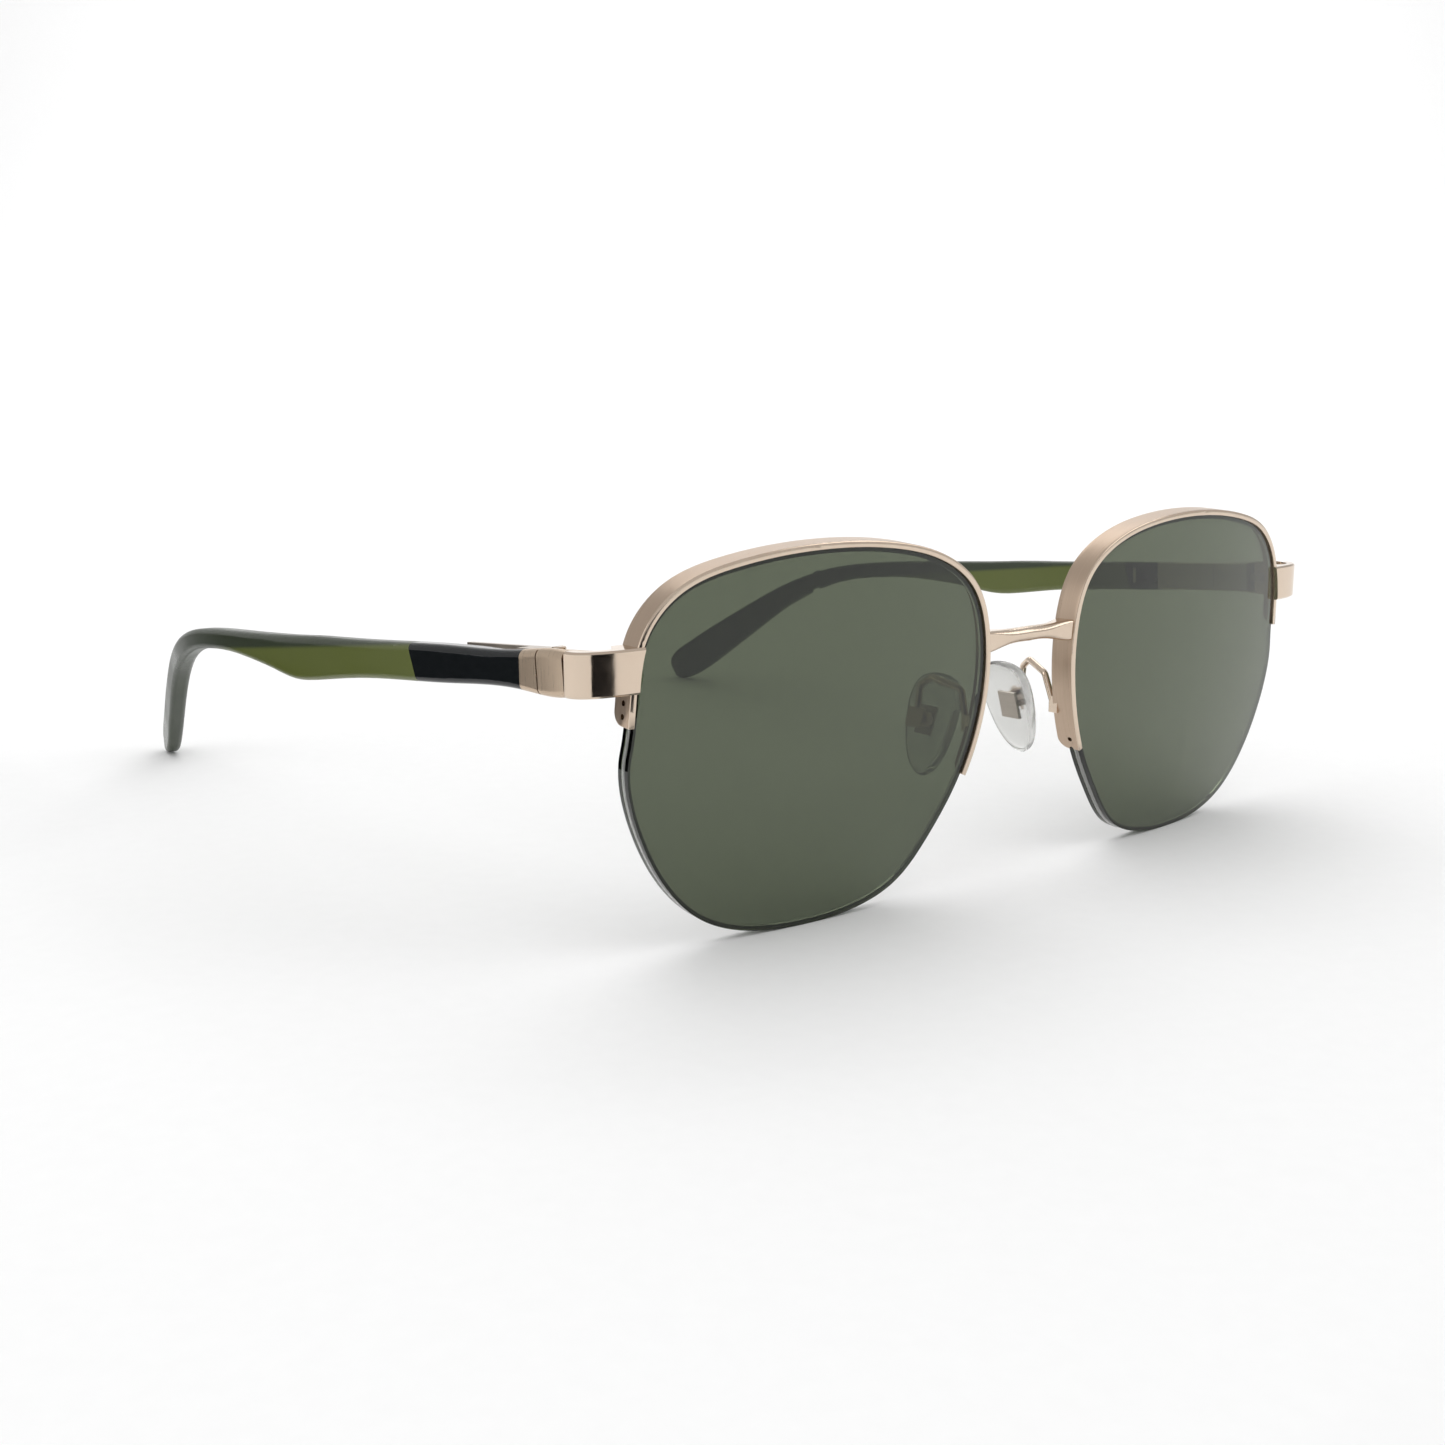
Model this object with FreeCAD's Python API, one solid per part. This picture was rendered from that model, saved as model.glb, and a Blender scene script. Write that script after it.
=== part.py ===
import FreeCAD
import Part
import math
import os

# Half-rim sunglasses with spring hinges, in millimetres.
# +X is the wearer's left, +Y runs back along the temples, +Z is up, and Z = 0 is the table they stand on.
# Everything is drawn for the wearer's left side, measured back from the front of the bridge,
# then mirrored for the right side and moved so that the origin is under the middle of the object.

Vec = FreeCAD.Vector
Rot = FreeCAD.Rotation
X_AXIS = Vec(1, 0, 0)
Y_AXIS = Vec(0, 1, 0)
Z_AXIS = Vec(0, 0, 1)

# Lens: a soft hexagon on a large sphere, wrapped back at the temple and leaning forward at the top
lens_centre = Vec(36.0, 0.54, 23.986)
lens_wrap = 5.0
lens_lean = 3.15
lens_radius = 200.0
lens_thickness = 2.0
lens_sag = 1.6
lens_points = [
    (24.3, 0.0), (23.6, 6.4), (22.2, 12.8), (18.6, 16.9), (11.3, 19.6), (0.0, 20.9), (-11.7, 20.3),
    (-18.6, 18.6), (-24.9, 14.3), (-27.2, 7.3), (-26.9, 0.0), (-24.1, -8.8), (-19.3, -16.2),
    (-14.7, -21.0), (-8.5, -23.4), (0.0, -24.1), (8.5, -23.2), (14.5, -20.7), (19.2, -16.1), (22.6, -10.0),
]
groove_width = 0.8
groove_depth = 0.55

# Rim: a flat metal band over the top of the lens, open along the bottom
rim_thickness = 0.8
rim_depth = 3.2
rim_proud = 0.35
rim_clear = 0.02
rim_outer_end = (24.0, 3.0)
rim_nasal_end = (-24.3, -8.7)
rim_nasal_slope = 60.5
rim_end_round = 1.6
rim_edge_round = 0.14
rim_long_edge = 30.0
line_hole_radius = 0.32
line_hole_first = 1.1
line_hole_pitch = 1.5

# Bridge between the two rims
bridge_z = 31.7
bridge_sections = [
    (8.7, 0.95, 0.0, 2.6, 2.8, 0.35), (6.4, 0.9, 0.0, 2.5, 2.3, 0.45), (4.2, 0.6, 0.15, 2.05, 1.8, 0.7),
    (0.0, 0.45, 0.25, 1.9, 1.7, 0.8),
]

# End piece: a plate that covers the rim's corner and bends softly back to the hinge
end_corner = Vec(57.0, 2.75, 0)
end_bend_start = Vec(59.4, 2.9, 0)
end_bend_rear = Vec(66.8, 6.45, 0)
end_bend_reach = 4.2
end_bend_rise = 2.55
end_wall = 1.5
end_inner_start = Vec(62.0, 4.45, 0)
end_inner_reach = 2.0
end_inner_rise = 1.3
end_root = Vec(60.8, 6.2, 0)
end_low = 30.85
end_high = 35.85
end_chamfer = 0.25

# Hinge: its frame has x outwards, y back along the temple and z along the screw
hinge_point = Vec(64.6, 10.4, 33.3)
hinge_splay = 2.4
hinge_drop = 4.6
barrel_radius = 1.15
barrel_half = 1.95
tongue_half = 0.62
tongue_gap = 0.06
screw_radius = 0.5
screw_clear = 0.05
screw_head_radius = 0.85
screw_head_height = 0.4
screw_head_chamfer = 0.12
arm_outer = 0.45
housing_front = 1.75
housing_collar = 6.0
housing_rear = 18.5
housing_half_x = 1.3
housing_inset = -0.45
housing_half_z = 2.15
housing_slim_z = 1.8
housing_round = 0.3
spring_bore_radius = 1.0
spring_seat = 4.6
spring_bore_end = 15.5
rod_radius = 0.42
rod_end = 13.2
spring_radius = 0.7
spring_wire = 0.13
spring_end = 11.6
spring_turns = 9
stop_radius = 0.9
stop_length = 1.2

# Temple stations: back, middle height, outer face, height, thickness, downward angle, inward angle
temple_stations = [
    (6.75, 33.34, 66.80, 4.95, 2.8, 4.6, -2.4), (15.0, 32.75, 67.15, 4.5, 2.8, 4.6, -2.4),
    (30.0, 31.55, 68.00, 4.5, 2.8, 4.8, -3.3), (43.5, 30.35, 68.77, 4.6, 2.7, 5.5, -2.8),
    (54.0, 29.25, 69.23, 5.1, 2.7, 6.0, -2.1), (61.0, 28.40, 69.45, 5.7, 2.7, 6.0, -1.2),
    (66.0, 27.90, 69.52, 5.7, 2.7, 4.0, -0.4), (72.0, 27.85, 69.52, 4.8, 2.7, 1.5, 0.5),
    (80.0, 27.75, 69.37, 3.7, 2.7, 2.0, 1.8), (88.0, 27.45, 69.01, 3.05, 2.7, 4.0, 3.6),
    (97.0, 26.60, 68.33, 2.9, 2.7, 8.0, 5.7), (105.0, 25.25, 67.38, 3.05, 2.7, 14.0, 8.0),
    (112.0, 23.05, 66.25, 3.5, 2.7, 23.0, 11.0), (119.0, 19.60, 64.70, 4.2, 2.7, 31.0, 14.3),
    (126.5, 14.75, 62.60, 5.3, 2.6, 35.0, 16.7), (134.5, 9.20, 60.15, 6.4, 2.5, 35.0, 17.5),
    (140.8, 4.85, 58.15, 6.8, 2.3, 34.0, 17.5), (144.6, 2.55, 57.00, 5.5, 1.9, 33.0, 17.5),
    (146.2, 1.62, 56.55, 3.0, 1.2, 33.0, 17.5),
]
section_corner = 0.28
section_bevel = 0.22
plate_end = 14.6
plate_line = 11.5
cover_end = 36.2
cover_slant = 21.0
core_end = 24.5

# Nose pads: their frame has x away from the nose, y back along the screw and z up the pad
pad_point = Vec(10.0, 10.2, 20.9)
pad_flare = 18.0
pad_points = [
    (-2.6, 5.9), (2.4, 5.9), (4.0, 3.6), (3.4, -1.2), (2.0, -5.0), (-0.4, -7.1), (-2.9, -5.4), (-3.9, -0.6),
    (-3.9, 3.6),
]
pad_face = -1.0
pad_thickness = 2.1
pad_round = 0.75
box_half = 1.3
box_wall = 0.4
box_back = 0.75
pad_screw_radius = 0.33
pad_boss_radius = 0.6
pad_screw_clear = 0.05
arm_radius = 0.45
arm_foot = Vec(9.05, 3.35, 21.3)
arm_points = [Vec(8.6, 4.6, 25.3), Vec(9.9, 8.4, 26.5), Vec(10.4, 9.9, 25.4)]
arm_bend = 0.8

# From the front of the bridge back to the middle of the object
middle_y = 73.164


def place(shape, position, rotation):
    moved = shape.copy()
    moved.Placement = FreeCAD.Placement(position, rotation).multiply(moved.Placement)
    return moved


def box(low, high):
    size = [b - a for a, b in zip(low, high)]
    return Part.makeBox(size[0], size[1], size[2], Vec(*low))


def edges_near(shape, points):
    def distance(edge, point):
        return edge.CenterOfMass.distanceToPoint(point)
    return [min(shape.Edges, key=lambda edge: distance(edge, point)) for point in points]


def rounded_path(points, radius):
    edges = []
    start = points[0]
    for before, corner, after in zip(points, points[1:], points[2:]):
        into = (corner - before).normalize()
        away = (after - corner).normalize()
        half = into.getAngle(away) / 2
        reach = radius * math.tan(half)
        first = corner - into * reach
        last = corner + away * reach
        inward = (away - into).normalize()
        centre = corner + inward * (radius / math.cos(half))
        middle = centre - inward * radius
        edges.append(Part.LineSegment(start, first).toShape())
        edges.append(Part.Arc(first, middle, last).toShape())
        start = last
    edges.append(Part.LineSegment(start, points[-1]).toShape())
    return Part.Wire(edges)


def tube(path, radius):
    start = path.Edges[0]
    circle = Part.Circle(start.valueAt(start.FirstParameter), start.tangentAt(start.FirstParameter), radius)
    return path.makePipeShell([Part.Wire(circle.toShape())], True, False)


def closed_curve(points):
    curve = Part.BSplineCurve()
    curve.interpolate(Points=points, PeriodicFlag=True)
    return curve


# Lens frame: x outwards, y up, z forwards

lens_turn = Rot(Z_AXIS, lens_wrap).multiply(Rot(X_AXIS, 90 + lens_lean))


def lens_outline(offset):
    points = [Vec(u, v, 0) for u, v in lens_points]
    curve = closed_curve(points)
    moved = []
    for point in points:
        tangent = curve.tangent(curve.parameter(point))[0]
        moved.append(point + Vec(tangent.y, -tangent.x, 0) * offset)
    return Part.Wire(closed_curve(moved).toShape())


def lens_prism(offset):
    base = lens_outline(offset).translated(Vec(0, 0, -9))
    return Part.Face(base).extrude(Vec(0, 0, 12))


def curved_layer(front, back):
    centre = Vec(0, 0, -lens_radius)
    outer = Part.makeSphere(lens_radius + front, centre, Y_AXIS)
    return outer.cut(Part.makeSphere(lens_radius + back, centre, Y_AXIS))


def edge_ring(outside, inside, front, back):
    ring = lens_prism(outside).cut(lens_prism(inside))
    return ring.common(curved_layer(front, back))


def rim_zone(margin):
    """The side of the lens plane that the rim covers, shortened by a margin at both ends."""
    slope = math.radians(rim_nasal_slope)
    along = Vec(math.cos(slope), -math.sin(slope), 0)
    across = Vec(math.sin(slope), math.cos(slope), 0)
    end = Vec(rim_nasal_end[0], rim_nasal_end[1], 0) - along * margin
    level = rim_outer_end[1] + margin
    corners = [
        end + across * 6, end - across * 8, Vec(-45, 0, 0), Vec(-45, 45, 0), Vec(45, 45, 0),
        Vec(45, level, 0), Vec(8, level, 0),
    ]
    face = Part.Face(Part.makePolygon(corners + corners[:1]))
    return face.translated(Vec(0, 0, -9)).extrude(Vec(0, 0, 12))


def groove_layer(width):
    middle = -lens_thickness / 2
    return middle + width / 2, middle - width / 2


def lens():
    blank = lens_prism(0).common(curved_layer(0, -lens_thickness))
    front, back = groove_layer(groove_width)
    return blank.cut(edge_ring(2, -groove_depth, front, back))


def rim():
    band = edge_ring(rim_thickness + rim_clear, rim_clear, rim_proud, rim_proud - rim_depth)
    band = band.common(rim_zone(0))
    rear = rim_proud - rim_depth - lens_sag
    ends = [Vec(*rim_outer_end, rear), Vec(*rim_nasal_end, rear)]
    band = largest(band.makeFillet(rim_end_round, edges_near(band, ends)))
    long_edges = [edge for edge in band.Edges if edge.Length > rim_long_edge]
    band = band.makeFillet(rim_edge_round, long_edges)
    return band.cut(line_holes())


def line_holes():
    """Two small holes through each end of the rim, level with the groove in the lens."""
    slope = math.radians(rim_nasal_slope)
    along = Vec(-math.cos(slope), math.sin(slope), 0)
    across = Vec(-math.sin(slope), -math.cos(slope), 0)
    level = -lens_thickness / 2 - lens_sag
    outer = Vec(rim_outer_end[0] - 2, rim_outer_end[1] + line_hole_first, level)
    nasal = Vec(*rim_nasal_end, level) + along * line_hole_first + Vec(2, 0, 0)
    holes = []
    for k in range(2):
        step = line_hole_pitch * k
        holes.append(Part.makeCylinder(line_hole_radius, 4, outer + Vec(0, step, 0), X_AXIS))
        holes.append(Part.makeCylinder(line_hole_radius, 5, nasal + along * step, across))
    return Part.makeCompound(holes)


def lens_liner():
    front, back = groove_layer(groove_width - 0.04)
    return edge_ring(0.01, -groove_depth + 0.02, front, back).common(rim_zone(3.6))


def nylon_line():
    front, back = groove_layer(groove_width - 0.16)
    return edge_ring(-0.02, -groove_depth + 0.02, front, back).cut(rim_zone(3.5))


def in_lens_frame(shape):
    return place(shape, lens_centre, lens_turn)


# Front metal

def rounded_section(height, depth, corner, at_x, at_y, at_z):
    """A rounded rectangle across X, for the bridge."""
    h = height / 2
    d = depth / 2
    c = corner
    s = c * (1 - math.sqrt(0.5))
    outline = [
        ((-d + c, h), (d - c, h), None), ((d - c, h), (d, h - c), (d - s, h - s)),
        ((d, h - c), (d, -h + c), None), ((d, -h + c), (d - c, -h), (d - s, -h + s)),
        ((d - c, -h), (-d + c, -h), None), ((-d + c, -h), (-d, -h + c), (-d + s, -h + s)),
        ((-d, -h + c), (-d, h - c), None), ((-d, h - c), (-d + c, h), (-d + s, h - s)),
    ]
    edges = []
    for start, end, middle in outline:
        a, b = [Vec(at_x, at_y + p[0], at_z + p[1]) for p in (start, end)]
        if middle is None:
            edges.append(Part.LineSegment(a, b).toShape())
        else:
            m = Vec(at_x, at_y + middle[0], at_z + middle[1])
            edges.append(Part.Arc(a, m, b).toShape())
    return Part.Wire(edges)


def bridge(rims):
    half = [(-x, y, z, h, d, c) for x, y, z, h, d, c in bridge_sections]
    both = half + [(-x, y, z, h, d, c) for x, y, z, h, d, c in reversed(half[:-1])]
    wires = [rounded_section(h, d, c, x, y, bridge_z + z) for x, y, z, h, d, c in both]
    bar = Part.makeLoft(wires, True, False)
    for band in rims:
        bar = bar.cut(band)
    for side in (-1, 1):
        bar = bar.cut(mirror_if(in_lens_frame(lens_prism(0.5)), side))
    return largest(bar)


def largest(shape):
    return max(shape.Solids, key=lambda solid: solid.Volume)


def mirror_if(shape, side):
    return shape if side > 0 else shape.mirror(Vec(0, 0, 0), X_AXIS)


def soft_bend(lead, start, end, rise):
    """A curve that leaves its start along a lead and arrives at its end heading straight back."""
    curve = Part.BezierCurve()
    curve.setPoles([start, start + lead, end - Vec(0, rise, 0), end])
    return curve.toShape()


def end_piece(band):
    front_lead = (end_bend_start - end_corner).normalize() * end_bend_reach
    outer_bend = soft_bend(front_lead, end_bend_start, end_bend_rear, end_bend_rise)
    inner_rear = end_bend_rear - Vec(end_wall, 0, 0)
    inner_bend = soft_bend(Vec(end_inner_reach, 0, 0), end_inner_start, inner_rear, end_inner_rise)
    back_corner = Vec(end_corner.x, end_root.y, 0)
    edges = [
        Part.LineSegment(end_corner, end_bend_start).toShape(),
        outer_bend,
        Part.LineSegment(end_bend_rear, inner_rear).toShape(),
        inner_bend,
        Part.LineSegment(end_inner_start, end_root).toShape(),
        Part.LineSegment(end_root, back_corner).toShape(),
        Part.LineSegment(back_corner, end_corner).toShape(),
    ]
    face = Part.Face(Part.Wire(edges)).translated(Vec(0, 0, end_low))
    plate = face.extrude(Vec(0, 0, end_high - end_low))
    bend_middle = outer_bend.valueAt((outer_bend.FirstParameter + outer_bend.LastParameter) * 0.5)
    outer = []
    for level in (end_low, end_high):
        outer.append((end_corner + end_bend_start) * 0.5 + Vec(0, 0, level))
        outer.append(bend_middle + Vec(0, 0, level))
    plate = plate.makeChamfer(end_chamfer, edges_near(plate, outer))
    plate = plate.cut(in_lens_frame(lens_prism(rim_clear))).cut(band)
    return largest(plate)


# Hinge frame: x outwards, y back along the temple, z up the screw

hinge_turn = Rot(Z_AXIS, -hinge_splay).multiply(Rot(X_AXIS, -hinge_drop))


def in_hinge_frame(shape):
    return place(shape, hinge_point, hinge_turn)


def rod_along_y(radius, start, end):
    return Part.makeCylinder(radius, end - start, Vec(0, start, 0), Y_AXIS)


def upright(radius, low, high):
    return Part.makeCylinder(radius, high - low, Vec(0, 0, low), Z_AXIS)


def front_hinge(plate):
    foot = box((-barrel_radius, -5.8, -barrel_half), (0.9, -3.95, barrel_half))
    ears = [foot]
    inner = tongue_half + tongue_gap
    for low, high in ((inner, barrel_half), (-barrel_half, -inner)):
        ears.append(upright(barrel_radius, low, high))
        ears.append(box((-barrel_radius, -4.2, low), (arm_outer, 0, high)))
    block = ears[0].multiFuse(ears[1:]).removeSplitter()
    block = block.cut(upright(screw_radius + screw_clear, -3, 3))
    return largest(in_hinge_frame(block).cut(plate))


def hinge_screw():
    top = barrel_half + 0.05
    shank = upright(screw_radius, -barrel_half, top)
    head = upright(screw_head_radius, top, top + screw_head_height)
    head = head.makeChamfer(screw_head_chamfer, edges_near(head, [Vec(0, 0, top + screw_head_height)]))
    slot = box((-1, -0.12, top + 0.2), (1, 0.12, top + 1))
    return in_hinge_frame(shank.fuse(head).removeSplitter().cut(slot))


def hinge_tongue():
    barrel = upright(barrel_radius, -tongue_half, tongue_half)
    neck = box((-0.5, 0, -0.6), (0.5, spring_seat + 0.1, 0.6))
    rod = rod_along_y(rod_radius, spring_seat, rod_end)
    tongue = barrel.multiFuse([neck, rod]).removeSplitter()
    return in_hinge_frame(tongue.cut(upright(screw_radius + screw_clear, -3, 3)))


def hinge_spring():
    length = spring_end - spring_seat - 0.3
    helix = Part.makeHelix(length / spring_turns, length, spring_radius)
    profile = Part.Wire(Part.Circle(Vec(spring_radius, 0, 0), Y_AXIS, spring_wire).toShape())
    coil = Part.Wire(helix.Edges).makePipeShell([profile], True, True)
    start = Vec(0, spring_seat + 0.15, 0)
    return in_hinge_frame(place(coil, start, Rot(X_AXIS, -90)))


def spring_stop():
    nut = rod_along_y(stop_radius, spring_end, spring_end + stop_length)
    return in_hinge_frame(nut.cut(rod_along_y(rod_radius, spring_end - 1, rod_end + 1)))


def housing_envelope():
    """A tall collar in front, a slimmer body behind it and a tall flange on the inner face."""
    half_x = housing_half_x
    tall = housing_half_z
    slim = housing_slim_z
    collar = box((-half_x, housing_front, -tall), (half_x, housing_collar, tall))
    body = box((-half_x, housing_front, -slim), (half_x, housing_rear, slim))
    flange = box((-half_x, housing_front, -tall), (housing_inset, housing_rear, tall))
    return collar.multiFuse([body, flange]).removeSplitter()


def spring_housing():
    case = housing_envelope()
    half_way = (housing_front + housing_rear) / 2
    inner_edges = [Vec(-housing_half_x, half_way, z) for z in (-housing_half_z, housing_half_z)]
    inner_edges.append(Vec(-housing_half_x, housing_front, 0))
    case = case.makeFillet(housing_round, edges_near(case, inner_edges))
    case = case.cut(rod_along_y(spring_bore_radius, spring_seat, spring_bore_end))
    case = case.cut(box((-0.6, 0, -0.7), (0.6, spring_seat + 0.1, 0.7)))
    slot = box((-2, 3.4, -0.45), (-housing_half_x + 0.15, 6.2, 0.45))
    line = box((-2, 7.6, -3), (-housing_half_x + 0.1, 7.8, 3))
    return in_hinge_frame(case.cut(slot).cut(line))


# Temple

def temple_section(back, height_mid, outer, height, thickness, down, inward):
    """A rectangle with rounded corners and a wider bevel along its outer top edge."""
    h = height / 2
    t = thickness / 2
    c = section_corner * thickness
    b = max(c, section_bevel * height)
    arc = 1 - math.sqrt(0.5)
    outline = [
        ((-t + c, h), (t - c, h), None), ((t - c, h), (t, h - b), (t - c * arc, h - b * arc)),
        ((t, h - b), (t, -h + c), None), ((t, -h + c), (t - c, -h), (t - c * arc, -h + c * arc)),
        ((t - c, -h), (-t + c, -h), None), ((-t + c, -h), (-t, -h + c), (-t + c * arc, -h + c * arc)),
        ((-t, -h + c), (-t, h - c), None), ((-t, h - c), (-t + c, h), (-t + c * arc, h - c * arc)),
    ]
    turn = Rot(Z_AXIS, inward).multiply(Rot(X_AXIS, -down))
    middle = Vec(outer - t, back, height_mid)
    edges = []
    for start, end, bulge in outline:
        a, z = [middle + turn.multVec(Vec(p[0], 0, p[1])) for p in (start, end)]
        if bulge is None:
            edges.append(Part.LineSegment(a, z).toShape())
        else:
            m = middle + turn.multVec(Vec(bulge[0], 0, bulge[1]))
            edges.append(Part.Arc(a, m, z).toShape())
    return Part.Wire(edges)


def temple_blank():
    return Part.makeLoft([temple_section(*station) for station in temple_stations], True, False)


def slanted_slab(start, end):
    """Everything between two planes across the temple; the rear plane leans back at the top."""
    slab = box((40, start, -20), (90, end + 60, 60))
    lean = Part.makeBox(60, 80, 120, Vec(-30, 0, -60))
    lean = place(lean, Vec(66, end, 31.4), Rot(X_AXIS, -cover_slant))
    return slab.cut(lean)


def temple_plate(blank):
    outside = in_hinge_frame(box((housing_half_x + 0.02, -10, -10), (10, 10, 10)))
    piece = blank.common(box((40, 0, 0), (90, plate_end, 60))).common(outside)
    groove = in_hinge_frame(box((1.95, plate_line - 10.55, -3), (5, plate_line - 10.35, 3)))
    return largest(piece.cut(groove))


def temple_cover(blank):
    piece = blank.common(slanted_slab(plate_end, cover_end))
    inside = in_hinge_frame(box((-5, -10, -10), (housing_half_x, housing_collar, 10)))
    piece = piece.cut(in_hinge_frame(housing_envelope())).cut(inside).cut(temple_core())
    return largest(piece)


def temple_core():
    return in_hinge_frame(box((-0.1, housing_rear, -1.2), (1.1, core_end, 1.2)))


def temple_sleeve(blank):
    return largest(blank.common(box((40, 20, -20), (90, 180, 60))).cut(slanted_slab(0, cover_end)))


# Nose pad frame: x away from the nose, y back, z up the pad

pad_turn = Rot(Y_AXIS, -pad_flare)


def in_pad_frame(shape):
    return place(shape, pad_point, pad_turn)


def pad_box():
    back = box((box_back, -box_half, -box_half), (box_back + box_wall, box_half, box_half))
    walls = [back]
    for low in (-box_half, box_half - box_wall):
        walls.append(box((-0.55, low, -0.95), (box_back + 0.1, low + box_wall, 0.95)))
    channel = walls[0].multiFuse(walls[1:]).removeSplitter()
    return in_pad_frame(channel.cut(rod_along_y(pad_screw_radius, -3, 3)))


def pad_screw():
    shank = rod_along_y(pad_screw_radius, -box_half, box_half + 0.15)
    head = rod_along_y(0.62, -box_half - 0.4, -box_half)
    slot = box((-1, -box_half - 0.5, -0.1), (1, -box_half - 0.25, 0.1))
    return in_pad_frame(shank.fuse(head).removeSplitter().cut(slot))


def pad_insert():
    boss_half = box_half - box_wall - 0.08
    boss = rod_along_y(pad_boss_radius, -boss_half, boss_half)
    neck = box((pad_face - 0.2, -boss_half, -0.45), (0, boss_half, 0.45))
    plate = box((pad_face - 0.5, -1.4, -1.9), (pad_face, 1.4, 1.9))
    piece = boss.multiFuse([neck, plate]).removeSplitter()
    return in_pad_frame(piece.cut(rod_along_y(pad_screw_radius + pad_screw_clear, -3, 3)))


def nose_pad():
    outline = closed_curve([Vec(pad_face, y, z) for y, z in pad_points])
    body = Part.Face(Part.Wire(outline.toShape())).extrude(Vec(-pad_thickness, 0, 0))
    body = body.makeFillet(pad_round, [edge for edge in body.Edges if edge.Length > 20])
    pocket = box((pad_face - 0.5, -1.4, -1.9), (0, 1.4, 1.9))
    return in_pad_frame(body.cut(pocket))


def pad_arm(band):
    last = pad_point + pad_turn.multVec(Vec(box_back + box_wall / 2, 0, box_half))
    wire = tube(rounded_path([arm_foot] + arm_points + [last], arm_bend), arm_radius)
    foot = box((8.55, 2.3, 20.2), (9.5, 3.8, 22.4))
    foot = foot.makeFillet(0.2, [e for e in foot.Edges if abs(e.CenterOfMass.y - 3.8) < 0.01])
    arm = Part.Solid(wire).fuse(foot).removeSplitter()
    arm = arm.cut(band).cut(in_lens_frame(lens())).cut(pad_box())
    return largest(arm)


def left_side():
    band = largest(in_lens_frame(rim()))
    plate = end_piece(band)
    blank = temple_blank()
    return {
        "lens": in_lens_frame(lens()),
        "rim": band,
        "lens_liner": in_lens_frame(lens_liner()),
        "nylon_line": in_lens_frame(nylon_line()),
        "end_piece": plate,
        "front_hinge": front_hinge(plate),
        "hinge_screw": hinge_screw(),
        "hinge_tongue": hinge_tongue(),
        "hinge_spring": hinge_spring(),
        "spring_stop": spring_stop(),
        "spring_housing": spring_housing(),
        "temple_plate": temple_plate(blank),
        "temple_cover": temple_cover(blank),
        "temple_core": temple_core(),
        "temple_sleeve": temple_sleeve(blank),
        "pad_arm": pad_arm(band),
        "pad_box": pad_box(),
        "pad_screw": pad_screw(),
        "pad_insert": pad_insert(),
        "nose_pad": nose_pad(),
    }


def build():
    left = left_side()
    nodes = {}
    for name, shape in left.items():
        nodes["left_" + name] = shape
        nodes["right_" + name] = mirror_if(shape, -1)
    nodes["bridge"] = bridge([left["rim"], nodes["right_rim"]])
    return {name: shape.translated(Vec(0, -middle_y, 0)) for name, shape in nodes.items()}


def main():
    os.makedirs("parts", exist_ok=True)
    nodes = build()
    for name, shape in nodes.items():
        shape.exportStep("parts/" + name + ".step")
    print("box", Part.makeCompound(list(nodes.values())).optimalBoundingBox(False, False))
    print("hinge point", hinge_point - Vec(0, middle_y, 0), "axis", hinge_turn.multVec(Z_AXIS))
    print("temple direction", hinge_turn.multVec(Y_AXIS), "pad point", pad_point - Vec(0, middle_y, 0))


main()
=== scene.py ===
# %% [markdown]
# # Half-rim sunglasses
# A pair of sunglasses is two tinted lenses held from above by thin metal rims, with a metal bridge,
# clear nose pads on wire arms, and translucent temples on spring hinges. The metal was cut, bent and
# plated, the lenses were ground from curved sheet, and the temples were moulded. The engineering
# model already holds every part at its true size, so this lesson is about what light does on each
# of them, and about the few soft shapes that are nicer when they are modelled by hand.

# %% Load the engineering model
import math

import bmesh
import bpy
from mathutils import Euler, Matrix, Vector


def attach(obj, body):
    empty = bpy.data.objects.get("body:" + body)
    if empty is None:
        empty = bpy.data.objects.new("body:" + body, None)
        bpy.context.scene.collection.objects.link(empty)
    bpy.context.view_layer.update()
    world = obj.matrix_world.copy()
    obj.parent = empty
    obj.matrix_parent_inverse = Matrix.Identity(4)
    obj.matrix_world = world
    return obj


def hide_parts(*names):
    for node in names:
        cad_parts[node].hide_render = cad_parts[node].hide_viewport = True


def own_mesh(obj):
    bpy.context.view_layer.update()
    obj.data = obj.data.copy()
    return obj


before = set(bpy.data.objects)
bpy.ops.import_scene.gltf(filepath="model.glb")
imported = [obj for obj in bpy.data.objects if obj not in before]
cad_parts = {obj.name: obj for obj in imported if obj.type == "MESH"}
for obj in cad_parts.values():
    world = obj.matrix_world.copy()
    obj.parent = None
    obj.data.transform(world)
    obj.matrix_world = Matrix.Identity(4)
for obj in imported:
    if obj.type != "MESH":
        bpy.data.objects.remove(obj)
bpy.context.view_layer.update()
print("parts in the engineering model:", len(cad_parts))

# %% [markdown]
# ## Camera
# A product picture of eyewear is usually taken a little above the lenses and from one front corner,
# so that both lenses, the bridge and one whole temple are seen. Our camera stands about 28 cm from
# the middle of the pair with a normal lens. It could be aimed at a target, but we give its place,
# then its heading, its downward pitch and a trace of roll, because separate angles are easier to
# correct. A tiny shift moves the picture without turning the camera.

# %% Camera
camera_place = Vector((-0.1667, -0.2153, 0.0649))
heading = math.radians(39.68)
pitch = math.radians(-12.06)
roll = math.radians(-0.07)

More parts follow.
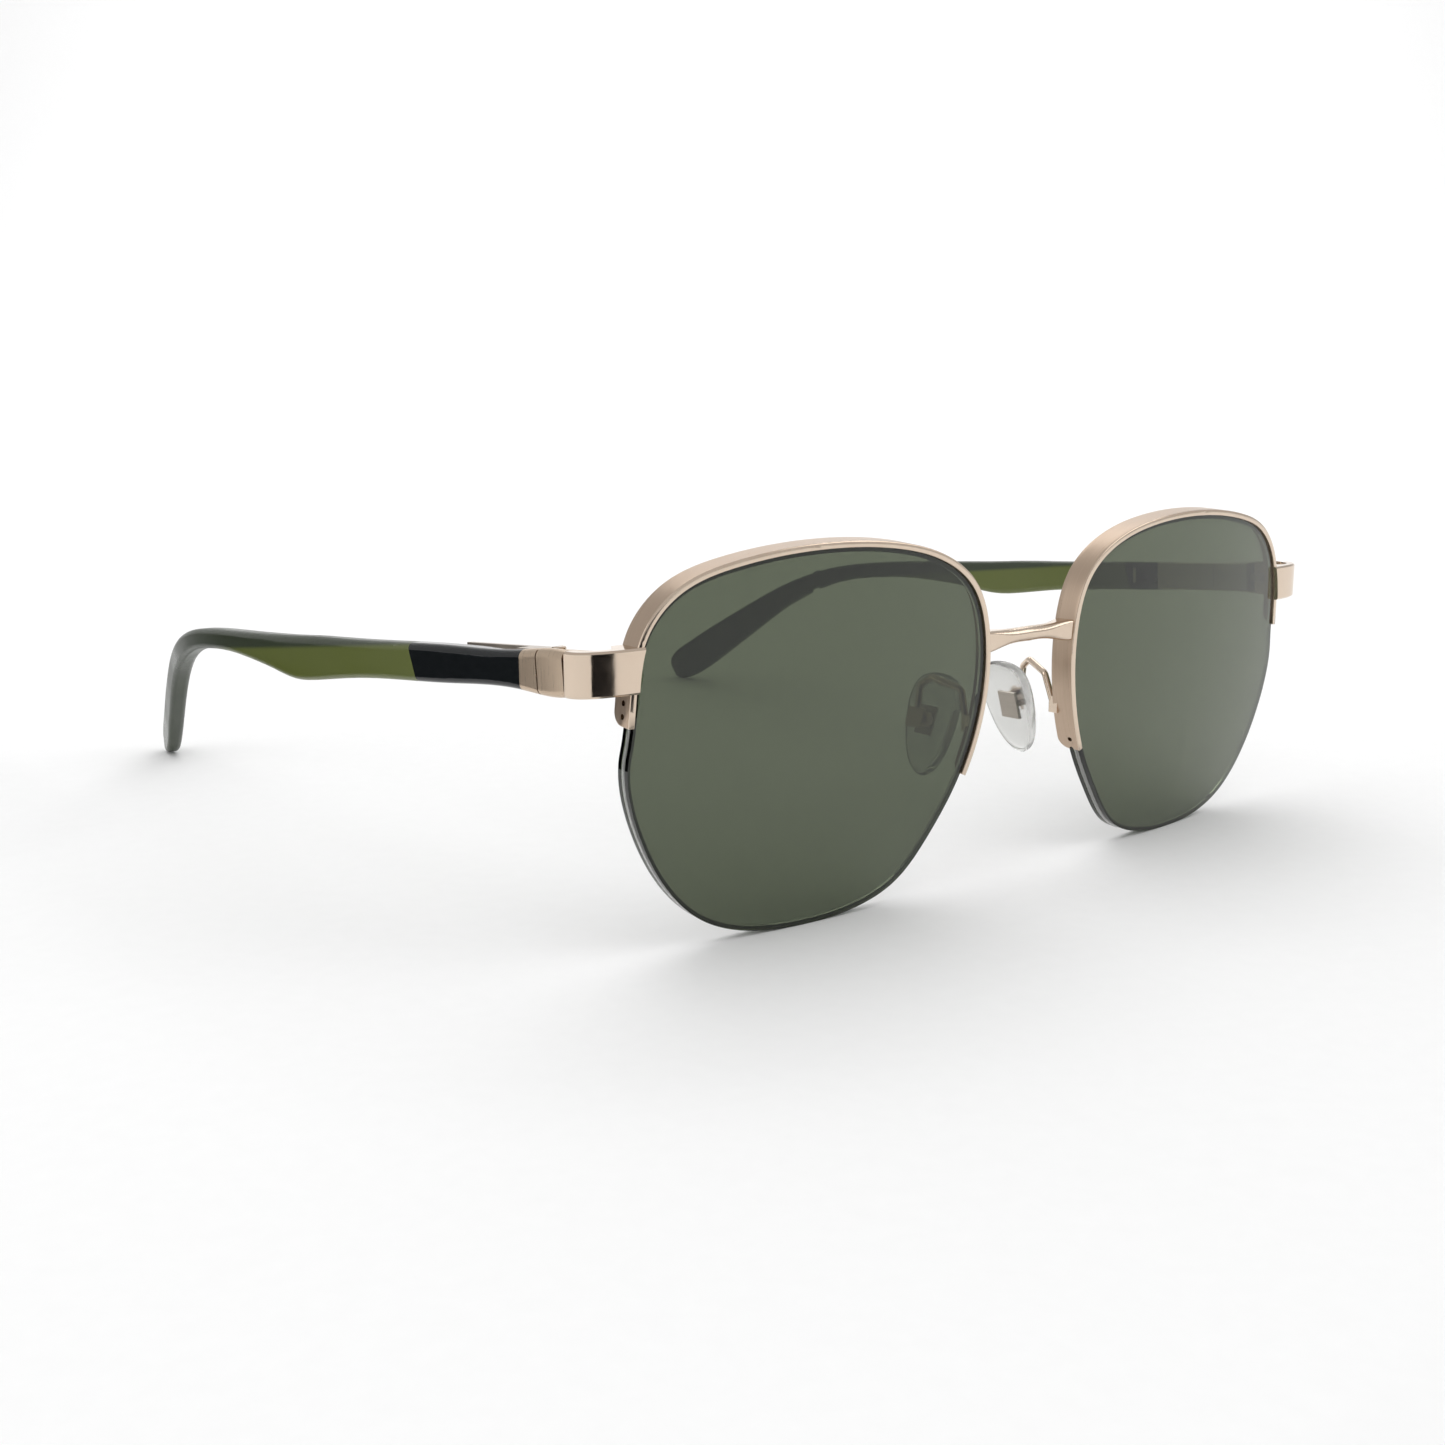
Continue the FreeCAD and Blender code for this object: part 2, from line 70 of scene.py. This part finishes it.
camera_data = bpy.data.cameras.new("camera")
camera_data.sensor_width = 36
camera_data.lens = 42.78
camera_data.shift_x = -0.0084
camera_data.shift_y = 0.0089
camera_data.clip_start = 0.01
camera = bpy.data.objects.new("camera", camera_data)
turn = Euler((math.pi / 2 + pitch, 0, -heading)).to_matrix() @ Matrix.Rotation(roll, 3, "Z")
camera.matrix_world = Matrix.Translation(camera_place) @ turn.to_4x4()
bpy.context.scene.collection.objects.link(camera)
bpy.context.scene.camera = camera
print("camera height in millimetres:", round(1000 * camera_place.z, 1))

# %% [markdown]
# ## Table and backdrop
# A studio table for small goods is a sheet of pale card that rises behind the object in one soft
# bend, so that no line shows between the table and the wall. A grid would do for the floor alone.
# We extrude one edge back and then up, and bevel the fold, because that is how the card is bent.

# %% Table and backdrop
card_half_width = 4.0
card_front = -3.0
card_back = 2.2
card_height = 3.0
card_bend = 1.0
bend_steps = 16
fold_tolerance = 0.001


def is_on_fold(point):
    return abs(point.y - card_back) < fold_tolerance and point.z < fold_tolerance


def make_backdrop():
    bm = bmesh.new()
    left = bm.verts.new((-card_half_width, card_front, 0))
    right = bm.verts.new((card_half_width, card_front, 0))
    edge = bm.edges.new((left, right))
    for step in (Vector((0, card_back - card_front, 0)), Vector((0, 0, card_height))):
        made = bmesh.ops.extrude_edge_only(bm, edges=[edge])["geom"]
        bmesh.ops.translate(bm, vec=step, verts=[v for v in made if isinstance(v, bmesh.types.BMVert)])
        edge = [e for e in made if isinstance(e, bmesh.types.BMEdge)][0]
    fold = [e for e in bm.edges if all(is_on_fold(v.co) for v in e.verts)]
    bmesh.ops.bevel(bm, geom=fold, offset=card_bend, offset_type="OFFSET", affect="EDGES",
                    segments=bend_steps, profile=0.5, material=-1)
    for face in bm.faces:
        face.smooth = True
    mesh = bpy.data.meshes.new("backdrop")
    bm.to_mesh(mesh)
    bm.free()
    card = bpy.data.objects.new("backdrop", mesh)
    bpy.context.scene.collection.objects.link(card)
    card.matrix_world = Matrix.Rotation(-heading, 4, "Z")
    return card


backdrop = make_backdrop()
print("backdrop faces:", len(backdrop.data.polygons))

# %% [markdown]
# ## Light
# Plated metal shows only what it reflects, so its look is made with large soft lamps and the dim
# gaps between them. An even white sky is what the metal mirrors. A big lamp overhead whitens the
# table but is kept out of the mirrors, or the tops of the rims would burn out. A small lamp on each
# side draws the highlights on rims and temples, and one at the back lights the wall.

# %% Light
def add_lamp(name, place, target, width, height, power):
    data = bpy.data.lights.new(name, "AREA")
    data.shape = "RECTANGLE"
    data.size = width
    data.size_y = height
    data.energy = power
    lamp = bpy.data.objects.new(name, data)
    aim = (Vector(target) - Vector(place)).to_track_quat("-Z", "Y").to_matrix().to_4x4()
    lamp.matrix_world = Matrix.Translation(Vector(place)) @ aim
    bpy.context.scene.collection.objects.link(lamp)
    return lamp


lamp_top = add_lamp("lamp_top", (0.15, 0.2, 1.3), (0, 0.1, 0.0), 2.2, 2.2, 12)
lamp_top.visible_glossy = False
add_lamp("lamp_left", (-1.1, 0.1, 0.5), (0, 0, 0.03), 0.5, 0.7, 1.6)
add_lamp("lamp_right", (0.8, -0.9, 0.6), (0, 0, 0.03), 0.6, 0.8, 2.0)
add_lamp("lamp_back", (1.0, 1.1, 1.6), (1.3, 1.6, 0.3), 2.0, 1.2, 14)

sky_strength = 0.6
sky = bpy.data.worlds.new("studio")
sky.use_nodes = True
sky.node_tree.nodes["Background"].inputs["Color"].default_value = (1.0, 1.0, 1.0, 1)
sky.node_tree.nodes["Background"].inputs["Strength"].default_value = sky_strength
bpy.context.scene.world = sky
bpy.context.scene.view_settings.view_transform = "Standard"

# %% [markdown]
# ## Black cards
# Polished bends and glossy black plastic look alive only when they mirror something dark. A studio
# lays black cards where the shiny sides look. Ours lie on the table, one in front of the end piece
# and one beside the temple, and only mirrors see them.

# %% Black cards
card_outlines = {
    "black_card_front": [(-0.036, -0.165), (0.126, -0.743), (-0.270, -0.740), (-0.092, -0.165)],
    "black_card_side": [(-0.13, 0.006), (-0.08, 0.03), (-0.08, 0.9), (-0.6, 1.2), (-0.6, 0.651)],
}
card_level = 0.0015


def make_black_card(name, outline):
    bm = bmesh.new()
    bm.faces.new([bm.verts.new((x, y, card_level)) for x, y in outline])
    for face in bm.faces:
        face.normal_update()
        if face.normal.z < 0:
            face.normal_flip()
    mesh = bpy.data.meshes.new(name)
    bm.to_mesh(mesh)
    bm.free()
    card = bpy.data.objects.new(name, mesh)
    bpy.context.scene.collection.objects.link(card)
    card.visible_camera = False
    card.visible_diffuse = False
    card.visible_transmission = False
    card.visible_shadow = False
    return card


black_cards = [make_black_card(name, outline) for name, outline in card_outlines.items()]

# %% [markdown]
# ## A helper for finishes
# Every finish below starts from the same general-purpose shader. The helper makes it and sets the
# values that are the same all over the surface; patterns are wired in afterwards.

# %% Helper for finishes
def new_finish(name, **values):
    finish = bpy.data.materials.new(name)
    finish.use_nodes = True
    shader = finish.node_tree.nodes["Principled BSDF"]
    for socket, value in values.items():
        shader.inputs[socket.replace("_", " ")].default_value = value
    return finish, shader


def add_node(finish, kind, **values):
    node = finish.node_tree.nodes.new(kind)
    for socket, value in values.items():
        node.inputs[socket.replace("_", " ")].default_value = value
    return node


def wire(finish, source, target):
    finish.node_tree.links.new(source, target)


noise_low, noise_high = 0.3, 0.7  # a noise seldom leaves these limits


def object_pattern(finish, stretch):
    """A noise on the object's own coordinates, stretched by three factors in cycles per metre."""
    place = add_node(finish, "ShaderNodeTexCoord")
    scale = add_node(finish, "ShaderNodeMapping", Scale=stretch)
    noise = add_node(finish, "ShaderNodeTexNoise", Scale=1.0, Detail=3.0, Roughness=0.6)
    wire(finish, place.outputs["Object"], scale.inputs["Vector"])
    wire(finish, scale.outputs["Vector"], noise.inputs["Vector"])
    return noise


def vary(finish, shader, noise, socket, low, high):
    """Lets a noise move one of the shader's values between two limits."""
    spread = add_node(finish, "ShaderNodeMapRange", From_Min=noise_low, From_Max=noise_high,
                      To_Min=low, To_Max=high)
    wire(finish, noise.outputs["Fac"], spread.inputs["Value"])
    wire(finish, spread.outputs["Result"], shader.inputs[socket])


def add_bump(finish, shader, noise, strength, distance):
    bump = add_node(finish, "ShaderNodeBump", Strength=strength, Distance=distance)
    wire(finish, noise.outputs["Fac"], bump.inputs["Height"])
    wire(finish, bump.outputs["Normal"], shader.inputs["Normal"])


def mix_colours(finish, shader, share, first, second):
    """Colours the surface between two colours, by a share that runs from 0 to 1."""
    mix = add_node(finish, "ShaderNodeMix")
    mix.data_type = "RGBA"
    colours = [socket for socket in mix.inputs if socket.type == "RGBA"]
    colours[0].default_value = (*first, 1)
    colours[1].default_value = (*second, 1)
    wire(finish, share, mix.inputs[0])
    result = [socket for socket in mix.outputs if socket.type == "RGBA"][0]
    wire(finish, result, shader.inputs["Base Color"])


def tint(finish, shader, noise, dark, light):
    """Lets a noise mix two colours."""
    mix_colours(finish, shader, noise.outputs["Fac"], dark, light)


def soft_step(finish, value, start, end):
    """0 below the start, 1 above the end, and a smooth change between them."""
    step = add_node(finish, "ShaderNodeMapRange", From_Min=start, From_Max=end, To_Min=0.0, To_Max=1.0)
    step.interpolation_type = "SMOOTHSTEP"
    wire(finish, value, step.inputs["Value"])
    return step.outputs["Result"]


def combine(finish, operation, first, second):
    """One sum on two values of the shader. The second may be a plain number."""
    node = add_node(finish, "ShaderNodeMath")
    node.operation = operation
    wire(finish, first, node.inputs[0])
    if isinstance(second, float):
        node.inputs[1].default_value = second
    else:
        wire(finish, second, node.inputs[1])
    return node.outputs["Value"]

# %% [markdown]
# ## Champagne gold plating
# The rims are drawn through a brush along their length before plating, so fine lines follow the
# band, while the bridge and end pieces are polished. Brushed lines can be painted, but a noise
# that changes fast across the band and slowly along it costs nothing and never repeats.

# %% Champagne gold plating
def make_brushed_gold():
    finish, shader = new_finish("brushed_gold", Metallic=1.0)
    lines = object_pattern(finish, (60, 9000, 60))
    tint(finish, shader, lines, (0.44, 0.33, 0.245), (0.60, 0.47, 0.365))
    vary(finish, shader, lines, "Roughness", 0.26, 0.42)
    add_bump(finish, shader, lines, 0.25, 0.00003)
    return finish


def make_polished_gold():
    finish, shader = new_finish("polished_gold", Metallic=1.0)
    cloud = object_pattern(finish, (300, 300, 300))
    tint(finish, shader, cloud, (0.66, 0.53, 0.42), (0.74, 0.62, 0.50))
    vary(finish, shader, cloud, "Roughness", 0.08, 0.16)
    return finish


def make_satin_gold():
    finish, shader = new_finish("satin_gold", Metallic=1.0)
    lines = object_pattern(finish, (150, 5000, 150))
    tint(finish, shader, lines, (0.54, 0.42, 0.31), (0.66, 0.52, 0.39))
    vary(finish, shader, lines, "Roughness", 0.26, 0.34)
    return finish


brushed_gold = make_brushed_gold()
polished_gold = make_polished_gold()
satin_gold = make_satin_gold()

# %% [markdown]
# ## Hinge metal and spring steel
# The housing on the inside of each temple is stamped metal with a dull plating, and the spring and
# its rod are plain steel. Both are noise-varied metals; only the colour and the polish differ.

# %% Hinge metal and spring steel
def make_hinge_metal():
    finish, shader = new_finish("hinge_metal", Metallic=1.0)
    grain = object_pattern(finish, (1500, 200, 1500))
    tint(finish, shader, grain, (0.42, 0.37, 0.32), (0.60, 0.53, 0.46))
    vary(finish, shader, grain, "Roughness", 0.26, 0.42)
    return finish


def make_spring_steel():
    finish, shader = new_finish("spring_steel", Metallic=1.0)
    grain = object_pattern(finish, (2500, 2500, 2500))
    tint(finish, shader, grain, (0.45, 0.45, 0.46), (0.62, 0.62, 0.63))
    vary(finish, shader, grain, "Roughness", 0.18, 0.3)
    return finish


hinge_metal = make_hinge_metal()
spring_steel = make_spring_steel()

# %% [markdown]
# ## Lens tint
# The lenses are solid grey-green plastic that lets about a tenth of the light through. Light crosses
# two surfaces and each takes half of the tint. A very faint drift in the colour keeps the sheet from
# looking like flat paint.

# %% Lens tint
def make_lens_tint():
    finish, shader = new_finish("lens_tint", Roughness=0.0, IOR=1.5, Transmission_Weight=1.0)
    drift = object_pattern(finish, (12, 12, 18))
    tint(finish, shader, drift, (0.077, 0.093, 0.057), (0.084, 0.101, 0.062))
    return finish


def make_clear_line():
    finish, shader = new_finish("clear_line", Roughness=0.12, IOR=1.5, Transmission_Weight=0.8)
    cloud = object_pattern(finish, (900, 900, 900))
    tint(finish, shader, cloud, (0.70, 0.71, 0.69), (0.85, 0.85, 0.83))
    return finish


lens_tint = make_lens_tint()
clear_line = make_clear_line()

# %% [markdown]
# ## Temple plastics
# The front of each temple is glossy black. Behind it the temple is a translucent olive plastic that
# glows where light comes through. Towards the bend a darker plastic takes over. It starts as a thin
# strip along the top edge and widens to the whole temple, so the border is a sloping line, and we
# get it by comparing height with distance along the temple.

# %% Temple plastics
def make_black_gloss():
    finish, shader = new_finish("black_gloss", IOR=1.45, Specular_IOR_Level=0.35)
    flecks = object_pattern(finish, (2200, 900, 2200))
    tint(finish, shader, flecks, (0.004, 0.005, 0.006), (0.012, 0.014, 0.015))
    vary(finish, shader, flecks, "Roughness", 0.04, 0.09)
    return finish


bend_start, bend_end = 0.012, 0.022
border_slope = 0.13
border_low, border_high = 0.0280, 0.0287
olive = (0.125, 0.15, 0.03)
dark_olive = (0.036, 0.049, 0.025)


def make_olive_plastic():
    finish, shader = new_finish("olive_plastic", IOR=1.49, Transmission_Weight=0.3)
    cloud = object_pattern(finish, (120, 60, 120))
    place = add_node(finish, "ShaderNodeTexCoord")
    split = add_node(finish, "ShaderNodeSeparateXYZ")
    wire(finish, place.outputs["Object"], split.inputs["Vector"])
    in_bend = soft_step(finish, split.outputs["Y"], bend_start, bend_end)
    rise = combine(finish, "MULTIPLY", split.outputs["Y"], border_slope)
    height = combine(finish, "ADD", rise, split.outputs["Z"])
    over_border = soft_step(finish, height, border_low, border_high)
    dark_share = combine(finish, "MAXIMUM", in_bend, over_border)
    mix_colours(finish, shader, dark_share, olive, dark_olive)
    vary(finish, shader, cloud, "Roughness", 0.25, 0.38)
    return finish


black_gloss = make_black_gloss()
olive_plastic = make_olive_plastic()

# %% [markdown]
# ## Clear silicone
# Nose pads are soft clear silicone, slightly cloudy, so they are light grey against a white table.

# %% Clear silicone
def make_silicone():
    finish, shader = new_finish("silicone", IOR=1.38, Transmission_Weight=0.94)
    cloud = object_pattern(finish, (250, 250, 250))
    tint(finish, shader, cloud, (0.68, 0.68, 0.66), (0.76, 0.76, 0.74))
    vary(finish, shader, cloud, "Roughness", 0.10, 0.18)
    return finish


silicone = make_silicone()

# %% [markdown]
# ## Nose pads
# A silicone pad is cast and has no flat face or sharp edge. The quickest way to such a pebble is an
# outline of nine points, pushed out in a few rings of changing size, with a smoothing modifier on
# top. A ball pressed flat would be simpler, but the pad is fuller at the top than at the bottom.

# %% Nose pads
pad_outline = [
    (-2.6, 5.9), (2.4, 5.9), (4.0, 3.6), (3.4, -1.2), (2.0, -5.0),
    (-0.4, -7.1), (-2.9, -5.4), (-3.9, -0.6), (-3.9, 3.6),
]
pad_rings = [(-1.06, 0.85), (-1.12, 1.06), (-2.1, 1.13), (-2.95, 0.98), (-3.3, 0.6)]
pad_point = (0.0100, -0.062964, 0.0209)
pad_flare = math.radians(-18)
pad_place = Matrix.Translation(pad_point) @ Matrix.Rotation(pad_flare, 4, "Y")
pad_smoothness = 3
millimetre = Matrix.Scale(0.001, 4)
mirror_of = {"left": Matrix.Identity(4), "right": Matrix.Scale(-1, 4, (1, 0, 0))}


def make_nose_pad(side):
    bm = bmesh.new()
    depth, spread = pad_rings[0]
    back = bm.faces.new([bm.verts.new((depth, y * spread, z * spread)) for y, z in pad_outline])
    front = back
    for next_depth, next_spread in pad_rings[1:]:
        made = bmesh.ops.extrude_face_region(bm, geom=[front], use_keep_orig=True)["geom"]
        if front is not back:
            bmesh.ops.delete(bm, geom=[front], context="FACES_ONLY")
        ring = [v for v in made if isinstance(v, bmesh.types.BMVert)]
        growth = next_spread / spread
        bmesh.ops.scale(bm, vec=(1, growth, growth), verts=ring)
        bmesh.ops.translate(bm, vec=(next_depth - depth, 0, 0), verts=ring)
        front = [f for f in made if isinstance(f, bmesh.types.BMFace)][0]
        depth, spread = next_depth, next_spread
    bmesh.ops.transform(bm, matrix=mirror_of[side] @ pad_place @ millimetre, verts=bm.verts)
    bmesh.ops.recalc_face_normals(bm, faces=bm.faces)
    print("open or doubled edges in the pad:", sum(1 for edge in bm.edges if not edge.is_manifold))
    for face in bm.faces:
        face.smooth = True
    mesh = bpy.data.meshes.new(side + "_soft_pad")
    bm.to_mesh(mesh)
    bm.free()
    pad = bpy.data.objects.new(side + "_soft_pad", mesh)
    bpy.context.scene.collection.objects.link(pad)
    smoothing = pad.modifiers.new("smoothing", "SUBSURF")
    smoothing.levels = pad_smoothness
    smoothing.render_levels = pad_smoothness
    pad.data.materials.append(silicone)
    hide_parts(side + "_nose_pad")
    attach(pad, side + "_pad")
    return pad


soft_pads = [make_nose_pad(side) for side in mirror_of]
print("pad faces before smoothing:", len(soft_pads[0].data.polygons))

# %% [markdown]
# ## A helper for free copies
# An engineering part is never changed, but a copy of it can be. Its triangles come loose, so the
# copy merges the points that lie on each other. Its shading could be all soft or all flat; pressed
# metal has both, so only edges where two faces meet at a clear angle are kept as creases.

# %% Helper for free copies
crease_angle = math.radians(32)
merge_distance = 0.000002


def merged_copy(node, name):
    """A free copy that stands for an engineering part."""
    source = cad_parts[node]
    bm = bmesh.new()
    bm.from_mesh(source.data)
    bmesh.ops.transform(bm, matrix=source.matrix_world, verts=bm.verts)
    bmesh.ops.remove_doubles(bm, verts=bm.verts, dist=merge_distance)
    for face in bm.faces:
        face.smooth = True
        face.normal_update()
    mesh = bpy.data.meshes.new(name)
    bm.to_mesh(mesh)
    bm.free()
    mesh.set_sharp_from_angle(angle=crease_angle)
    copy = bpy.data.objects.new(name, mesh)
    bpy.context.scene.collection.objects.link(copy)
    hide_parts(node)
    return copy

# %% [markdown]
# ## Two-tone rims
# Each rim is brushed on its wide side and polished on the narrow edge that faces forward. Two bands
# could be modelled, but the real rim is one strip of metal, so we give one copy two finishes, and
# every face that looks forward takes the polished one.

# %% Two-tone rims
forward_share = 0.35


def make_two_tone_rim(side):
    rim = merged_copy(side + "_rim", side + "_two_tone_rim")
    rim.data.materials.append(brushed_gold)
    rim.data.materials.append(polished_gold)
    for face in rim.data.polygons:
        face.material_index = 1 if face.normal.y < -forward_share else 0
    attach(rim, "front")
    return rim


rims = [make_two_tone_rim(side) for side in mirror_of]
print("rim faces:", [len(rim.data.polygons) for rim in rims])

# %% [markdown]
# ## Coil springs
# When a temple is pushed outwards, the small spring inside it is pressed shorter, and a rigid coil
# would poke through the wall of its housing. A copy of each coil is made in spring steel and hung
# on the hinge tongue, with a mesh of its own.


def make_spring(side):
    spring = merged_copy(side + "_hinge_spring", side + "_coil_spring")
    spring.data.materials.append(spring_steel)
    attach(spring, side + "_tongue")
    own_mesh(spring)
    return spring


springs = [make_spring(side) for side in mirror_of]
print("spring faces:", [len(spring.data.polygons) for spring in springs])

# %% [markdown]
# ## Finishes on the parts
# The left and the right of every part have the same finish, so one table is enough. It is a plain
# list that can be read aloud, which makes a wrong finish easy to spot.

# %% Give every part its finish
finish_of = {
    "bridge": polished_gold, "rim": brushed_gold, "end_piece": polished_gold, "front_hinge": satin_gold,
    "temple_plate": satin_gold, "pad_arm": polished_gold, "pad_box": polished_gold,
    "pad_screw": polished_gold, "pad_insert": hinge_metal, "hinge_screw": polished_gold,
    "hinge_tongue": hinge_metal, "hinge_spring": spring_steel, "spring_stop": hinge_metal,
    "spring_housing": hinge_metal, "temple_core": hinge_metal, "temple_cover": black_gloss,
    "temple_sleeve": olive_plastic, "lens": lens_tint, "lens_liner": clear_line,
    "nylon_line": clear_line, "nose_pad": silicone,
}
for name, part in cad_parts.items():
    kind = name.replace("left_", "").replace("right_", "")
    part.data.materials.clear()
    part.data.materials.append(finish_of[kind])
print("kinds of part:", len(finish_of))

# %% [markdown]
# ## Finishes on the cards
# The backdrop is matt white card and the dark cards are black paper, and neither shines. One plain
# colour would do from afar, but both get a trace of fibre, so that they are not perfectly even.

# %% Finishes on the cards
card_finish, card_shader = new_finish("backdrop_card", Roughness=0.9)
grain = object_pattern(card_finish, (400, 400, 400))
tint(card_finish, card_shader, grain, (0.86, 0.86, 0.86), (0.89, 0.89, 0.89))
backdrop.data.materials.append(card_finish)

black_finish, black_shader = new_finish("black_paper", Roughness=1.0, Specular_IOR_Level=0.0)
fibres = object_pattern(black_finish, (600, 600, 600))
tint(black_finish, black_shader, fibres, (0.008, 0.008, 0.009), (0.014, 0.014, 0.015))
for card in black_cards:
    card.data.materials.append(black_finish)
